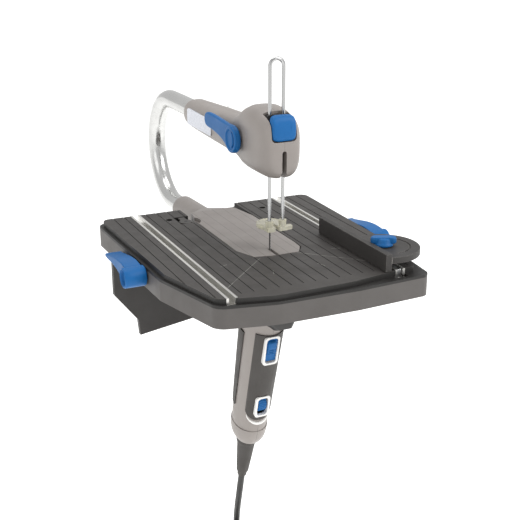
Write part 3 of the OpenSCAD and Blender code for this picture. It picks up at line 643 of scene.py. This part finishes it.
LY, LZ = 23, 92
outline = [(LY + a, LZ + b) for a, b in (
    (-11.4, -1.2), (-10.8, 3.6), (-8.4, 7.7), (-4.6, 10.4), (0.0, 11.5), (6, 11.4), (14, 11.6),
    (24, 12.4), (34, 13.0),
    (44, 13.4), (53, 13.2), (57.6, 11.6), (59.5, 8.2), (59.2, 4.4), (56.8, 1.6), (52, 0.4), (44, 0.0),
    (35, -1.2),
    (26, -2.8), (18, -5.2), (12, -8.2), (7.6, -10.2), (3, -11.2), (-2.6, -11.2), (-7.4, -8.9), (-10.4, -5.4))]
lever_pts = [(p.x, p.y) for p in smooth_path([(a, b, 0) for a, b in outline + outline[:1]], 1.5)][:-1]
paddle = made("lever_paddle", prism(lever_pts, -24.6, -20.5, side), 50)
bevel(paddle, 1.4, 4, 40)
dress(paddle, "tension_lever")
boss_rings = []
for x, r in ((-23.6, 11.3), (-25.2, 11.2), (-26.0, 10.4), (-26.2, 9.0), (-25.6, 8.2), (-24.9, 7.6),
             (-24.7, 3.0)):
    boss_rings.append([(x, LY + a, LZ + b) for a, b in disc(0, 0, r, 56)])
boss = made("lever_boss", loft(boss_rings), 40)
boss.data.materials.append(M["blue"])
bevel(boss, 0.4, 3, 30)
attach(boss, "tension")
ridge = made("lever_ridge", tube([(-25.2, LY + 5.2 * math.cos(a), LZ + 6.6 * math.sin(a)) for a in
                                  (math.radians(100 + 5 * i) for i in range(33))],
                                 lambda t: 0.25 + 1.15 * math.sin(math.pi * t) ** 0.6, 16), 50)
ridge.data.materials.append(M["blue"])
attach(ridge, "tension")

# ---------------------------------------------------------------- tube, wire and foot

BEND_Y, BEND_Z, BEND_R = 228.5, 35, 54
bend = [math.radians(90 - 3 * i) for i in range(61)]
arc = [(0, BEND_Y + BEND_R * math.cos(a), BEND_Z + BEND_R * math.sin(a)) for a in bend]
run = ([(0, 128.5 + i * 9.9, 89) for i in range(10)] + arc
       + [(0, BEND_Y - i * 8.8, -19) for i in range(1, 9)])
pipe = made("c_tube", tube(run, 9.0, 56), 50)
dress(pipe, "frame_tube")

wire = [(-6, -11.6, 21.2 + 4 * i) for i in range(34)]
wire += [(-6 * math.cos(a), -11.6, 155 + 6 * math.sin(a)) for a in (math.radians(7.5 * i) for i in range(25))]
wire += [(6, -11.6, 153.2 - 4 * i) for i in range(34)]
rods = made("hold_down_wire", tube(wire, 1.5, 24), 50)
dress(rods, "hold_down_rod")

refine("blade_foot", 0.9, 3)
rim = made("foot_rim", tube([(10 * math.cos(a), 1 + 10 * math.sin(a), 23.3) for a in
                             (math.radians(-60 + 5 * i) for i in range(61))], 0.75, 12), 60)
rim.data.materials.append(M["clear"])
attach(rim, "hold_down")

# ---------------------------------------------------------------- grip

def oval_at(w, d, n=72, e=2.15):
    t = -w / GRIP_LEN
    hx, hy = 19 - 3.5 * t + d, 23 - 4.5 * t + d
    return [grip(a, b, w) for a, b in superellipse(hx, hy, e, n)]


for node, width, seg in (("grip_front_pad", 0.5, 3), ("grip_side_pads", 0.5, 3), ("switch_bezel", 0.35, 2),
                         ("dial_bezel", 0.35, 2), ("grip_left_shell", 0.2, 1), ("grip_right_shell", 0.2, 1)):
    refine(node, width, seg, 34)

# pale crescent round the lower end of the rubber panel
edge = []
for i in range(41):
    a = math.radians(-10 - 160 * i / 40)
    w = -118.5 + 10.5 * math.sin(a)
    x = 11.6 * math.cos(a)
    t = -w / GRIP_LEN
    hx, hy = 19 - 3.5 * t, 23 - 4.5 * t
    edge.append(grip(x, -hy * math.sqrt(max(0, 1 - (x / hx) ** 2)) - 0.15, w))
crescent = made("panel_crescent", tube(edge, lambda t: 0.3 + 1.25 * math.sin(math.pi * t), 16), 60)
crescent.data.materials.append(M["white"])
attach(crescent, "saw")

CAP_PROFILE = ((-140.0, 0.35), (-143, 0.4), (-149, 0.1), (-153, -0.6), (-156.5, -1.9), (-159.2, -3.6),
               (-160.6, -5.2), (-161.0, -7.4))
cap_rings = [oval_at(w, d) for w, d in CAP_PROFILE]
cap = made("grip_end", loft(cap_rings), 50)
dress(cap, "end_cap")

relief = []
for w, r in ((-160.5, 9.4), (-161.2, 9.9), (-162.4, 10.0), (-165.5, 9.9), (-167.2, 9.5), (-168, 8.9),
             (-171, 8.6),
             (-180, 7.9), (-190, 7.2), (-200, 6.4), (-206, 5.9), (-207.2, 5.5), (-207.6, 4.8), (-209.4, 4.6),
             (-212.2, 4.5), (-213, 4.0), (-213, 3.3)):
    relief.append([grip(a, b, w) for a, b in disc(0, 0, r, 48)])
sleeve = made("strain_sleeve", loft(relief), 40)
bevel(sleeve, 0.3, 2, 35)
dress(sleeve, "strain_relief")

# floor of the switch well, the runner slides over it
well_outline = round_poly([(-6.4, -52.6, 1.5), (6.4, -52.6, 1.5), (6.4, -28.6, 1.5), (-6.4, -28.6, 1.5)])
well = made("switch_well", prism(well_outline, -22.9, -21.6, lambda a, b, v: grip(a, v, b)), 40)
well.data.materials.append(M["blue"])
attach(well, "saw")

# thumb slider: a flat runner with a crowned hump on its upper half and small ribs
slider_rings = []
for v, hx, h in ((-17, 4.2, 7.7), (-23.8, 4.2, 7.7), (-24.3, 3.9, 7.4), (-24.5, 3.3, 6.6)):
    slider_rings.append([grip(a, v, -37.8 + b) for a, b in superellipse(hx, h, 6, 40)])
slider = made("slider", loft(slider_rings), 40)
dress(slider, "power_switch")
hump_rings = []
for v, k in ((-23.4, 1.0), (-25.0, 0.97), (-25.6, 0.86), (-25.8, 0.6)):
    hump_rings.append([grip(a, v, -34.4 + b) for a, b in superellipse(4.1 * k, 4.1 * k, 3.2, 40)])
hump = made("slider_hump", loft(hump_rings), 50)
hump.data.materials.append(M["blue"])
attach(hump, "switch")
for i, w0 in enumerate((-40.2, -42.2, -44)):
    rib = made("slider_rib_%d" % i, tube([grip(-3.3 + 0.4 * k, -24.4, w0) for k in range(17)],
                                         lambda t: 0.1 + 0.45 * math.sin(math.pi * t) ** 0.25, 12), 60)
    rib.data.materials.append(M["blue"])
    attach(rib, "switch")
dial_pts = []
for i in range(120):
    a = 2 * math.pi * i / 120
    r = 9.2 - (0.45 if (i % 4) >= 2 else 0)
    dial_pts.append((-13.2 + r * math.cos(a), -107 + r * math.sin(a)))
dial = made("dial_wheel", prism(dial_pts, -4, 4, lambda a, b, x: grip(x, a, b)), 30)
bevel(dial, 0.3, 2, 30)
dress(dial, "speed_dial")

# ---------------------------------------------------------------- housing, table and the rest of the frame

refine("gear_housing", 1.2, 3)
refine("lower_arm", 0.5, 2)
refine("table", 0.45, 2, 34)
for node in ("left_rail", "right_rail"):
    refine(node, 0.22, 2)
for node in ("bench_stop_plate", "mitre_fence", "seat_bar"):
    refine(node, 0.7, 3)
for node in ("left_clamp_jaw", "right_clamp_jaw", "left_jaw_pad", "right_jaw_pad", "guide_bar", "guide_stud",
             "left_lock_link", "right_lock_link", "left_lever_shaft", "right_lever_shaft", "saw_latch",
             "lower_blade_holder", "upper_blade_holder", "plate_screws", "rail_screws"):
    refine(node, 0.3, 2)
refine("side_plate", 0.25, 2, 40)

# recessed hexagon heads of the arm screws
screws = bmesh.new()
for y in (60, 118):
    for z in (82, 97):
        x0 = 14.7 - 0.0276 * (y - 60)
        rings = [[(x, y + a, z + b) for a, b in disc(0, 0, 1.5, 36)] for x in (x0 - 6, x0)]
        for x, r in ((x0, 2.8), (x0 + 1.0, 2.8), (x0 + 1.5, 2.3)):
            rings.append([(x, y + a, z + b) for a, b in disc(0, 0, r, 36)])
        hexa = []
        for i in range(36):
            turn, off_corner = math.radians(10 * i), math.radians((10 * i) % 60 - 30)
            reach = 1.35 * 0.87 / math.cos(off_corner)
            hexa.append((reach * math.cos(turn), reach * math.sin(turn)))
        rings.append([(x0 + 1.5, y + a, z + b) for a, b in hexa])
        rings.append([(x0 + 0.4, y + a, z + b) for a, b in hexa])
        part = loft(rings)
        me = bpy.data.meshes.new("part")
        part.to_mesh(me)
        part.free()
        screws.from_mesh(me)
        bpy.data.meshes.remove(me)
dress(made("arm_screw_set", screws, 30), "arm_screws")

# clamp levers: a dished boss with a curved paddle
for s, name in ((-1, "left"), (1, "right")):
    by, bz = 16, -12
    rings = []
    for x, r in ((106.6, 8.2), (107.2, 8.6), (120, 8.6), (123.6, 8.55), (124.7, 8.2), (125.0, 7.6),
                 (124.6, 6.9),
                 (123.6, 6.4), (121.2, 5.6), (120.6, 3.0)):
        rings.append([(s * x, by + a, bz + b) for a, b in disc(0, 0, r, 56)])
    lever_boss = made(name + "_lever_boss", loft(rings), 40)
    dress(lever_boss, name + "_clamp_lever")
    pts = [(-7.9, 0.4), (-7.0, 4.0), (-4.2, 7.0), (0, 8.3), (6, 9.0), (14, 9.4), (26, 8.4), (40, 6.0),
           (50, 4.2),
           (56.4, 3.4), (57.6, 1.9), (56.4, 0.4), (48, 0.1), (38, 0.2), (26, -0.6), (16, -2.8),
           (9, -5.2), (4, -7.6),
           (0, -8.2), (-4.4, -6.6), (-7.2, -3.4)]
    line = [(p.x, p.y) for p in smooth_path([(by + a, bz + b, 0) for a, b in pts + pts[:1]], 1.5)][:-1]
    blade_part = made(name + "_lever_paddle", prism(line, s * 108.2, s * 122.4, side), 50)
    bevel(blade_part, 1.2, 4, 40)
    blade_part.data.materials.append(M["blue"])
    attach(blade_part, name + "_lever")

# knob of the mitre guide: round skirt, boss and a rounded bar to turn it by
KX, KY = 73, -62
KNOB_PROFILE = ((12.4, 7.4), (12.9, 8.0), (14.2, 8.0), (14.8, 7.4), (15.4, 6.7), (17.6, 6.4),
                (18.6, 5.7), (19.1, 4.4), (19.3, 2.0))
knob_rings = [[(KX + a, KY + b, z) for a, b in disc(0, 0, r, 56)] for z, r in KNOB_PROFILE]
knob = made("knob_boss", loft(knob_rings), 50)
dress(knob, "guide_knob")
wing_pts = round_poly([(-10.6, -4.0, 3.7), (10.6, -4.0, 3.7), (10.6, 4.0, 3.7), (-10.6, 4.0, 3.7)], 7)
ca, sa = math.cos(math.radians(-25)), math.sin(math.radians(-25))
wing_rings = []
for z, k in ((14.4, 0.94), (15.2, 1.0), (18.0, 1.0), (19.2, 0.95), (19.8, 0.84)):
    wing_rings.append([(KX + (a * ca - b * sa) * k, KY + (a * sa + b * ca) * k, z) for a, b in wing_pts])
wings = made("knob_wings", loft(wing_rings), 50)
bevel(wings, 0.5, 2, 40)
wings.data.materials.append(M["blue"])
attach(wings, "knob")

# blade: fine teeth, ground edges
refine("blade", 0.05, 1, 30)

# every CAD node that still shows gets its own material
for node, ob in frame["nodes"].items():
    ob.data.materials.clear()
    ob.data.materials.append(mat_of(node))

# ---------------------------------------------------------------- floor and light

bm = bmesh.new()
bmesh.ops.create_grid(bm, x_segments=8, y_segments=8, size=1)
me = bpy.data.meshes.new("floor")
bm.to_mesh(me)
bm.free()
floor = link(bpy.data.objects.new("floor", me))
floor.scale = (30, 30, 1)
floor.location = (0, 0, -0.4695)
n = Nodes("pale_floor")
pale = n.mix(n.span(n.noise(3, 2), 0, 1), (0.90, 0.90, 0.89), (0.93, 0.93, 0.92))
n.wire(pale, n.bsdf.inputs["Base Color"])
n.set("Roughness", 0.9)
n.set("Emission Color", (1.0, 1.0, 0.995, 1))
n.set("Emission Strength", 0.55)
floor.data.materials.append(n.m)

world = bpy.data.worlds.new("studio")
world.use_nodes = True
world.node_tree.nodes["Background"].inputs["Color"].default_value = (1, 1, 1, 1)
world.node_tree.nodes["Background"].inputs["Strength"].default_value = 0.75
bpy.context.scene.world = world


def softbox(name, place, target, size, power):
    d = bpy.data.lights.new(name, "AREA")
    d.shape, d.size, d.size_y, d.energy = "RECTANGLE", size[0], size[1], power
    ob = link(bpy.data.objects.new(name, d))
    ob.location = place
    ob.rotation_mode = "QUATERNION"
    ob.rotation_quaternion = (Vector(target) - Vector(place)).to_track_quat("-Z", "Y")


softbox("key", (0.9, -1.1, 1.1), (0, -0.1, 0.05), (0.9, 0.9), 15)
softbox("fill", (-1.5, -0.6, 0.7), (0, -0.1, 0), (1.2, 1.2), 4)
softbox("top", (0.1, 0.4, 1.7), (0, -0.1, 0), (1.4, 1.0), 12)
